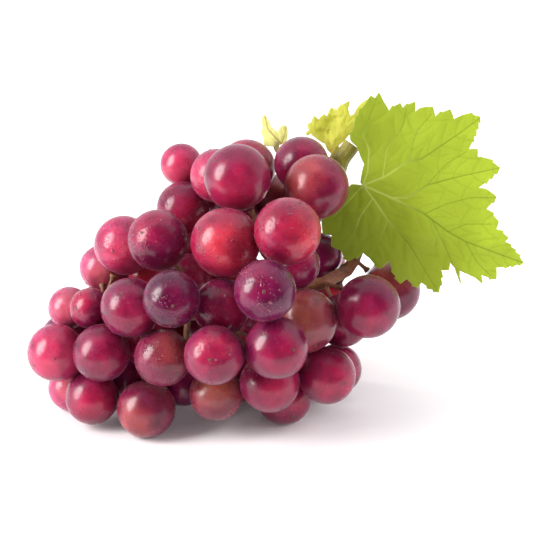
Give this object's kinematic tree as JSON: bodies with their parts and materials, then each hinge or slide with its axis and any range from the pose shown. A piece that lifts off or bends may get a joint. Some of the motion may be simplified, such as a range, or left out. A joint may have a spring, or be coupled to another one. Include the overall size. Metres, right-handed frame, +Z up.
{
  "type": "bunch of grapes",
  "caption": "Bunch of red table grapes lying on its side on a short piece of cane, with a green leaf, a young leaf and a bud leaf.",
  "frame": {"origin": "on the surface that the bunch lies on, under the middle of its bounding box", "axes": "+Z up; +X from the tip of the bunch toward its cane and leaf; -Y is the shown side"},
  "size_m": [0.1928, 0.1286, 0.1201],
  "materials": {
    "grape_dark": "dark purple skin with a thin waxy bloom",
    "grape_red": "crimson skin, smooth and slightly glossy",
    "grape_bright": "bright red skin, translucent where light comes through",
    "grape_rosy": "pink to orange skin, not fully coloured",
    "grape_amber": "amber and red skin with green under it",
    "stalk": "dull brown-green, slightly woody",
    "cane": "green young bark with fine ribs",
    "leaf": "fresh green, satin, paler veins",
    "young_leaf": "yellow-green, thin and soft",
    "bud_leaf": "yellow-green, thin and soft"
  },
  "bodies": {
    "root": {"grape_01": "grape_bright", "grape_02": "grape_red", "grape_03": "grape_red", "grape_04": "grape_red", "grape_05": "grape_dark", "grape_06": "grape_bright", "grape_07": "grape_bright", "grape_08": "grape_red", "grape_09": "grape_red", "grape_10": "grape_red", "grape_11": "grape_red", "grape_12": "grape_dark", "grape_13": "grape_red", "grape_14": "grape_dark", "grape_15": "grape_red", "grape_16": "grape_red", "grape_17": "grape_red", "grape_18": "grape_red", "grape_19": "grape_amber", "grape_20": "grape_bright", "grape_21": "grape_dark", "grape_22": "grape_rosy", "grape_23": "grape_red", "grape_24": "grape_dark", "grape_25": "grape_red", "grape_26": "grape_dark", "grape_27": "grape_bright", "grape_28": "grape_dark", "grape_29": "grape_bright", "grape_30": "grape_dark", "grape_31": "grape_rosy", "grape_32": "grape_amber", "grape_33": "grape_bright", "grape_34": "grape_dark", "grape_35": "grape_dark", "grape_36": "grape_red", "grape_37": "grape_bright", "grape_38": "grape_rosy", "grape_39": "grape_dark", "grape_40": "grape_rosy", "grape_41": "grape_red", "grape_42": "grape_amber", "grape_43": "grape_dark", "grape_44": "grape_red", "back_grapes_01": "grape_dark", "back_grapes_02": "grape_bright", "back_grapes_03": "grape_red", "back_grapes_04": "grape_dark", "back_grapes_05": "grape_bright", "back_grapes_06": "grape_red", "back_grapes_07": "grape_dark", "back_grapes_08": "grape_bright", "back_grapes_09": "grape_red", "back_grapes_10": "grape_dark", "back_grapes_11": "grape_bright", "stalk": "stalk", "cane": "cane", "leaf": "leaf", "young_leaf": "young_leaf", "bud_leaf": "bud_leaf"}
  },
  "joints": []
}
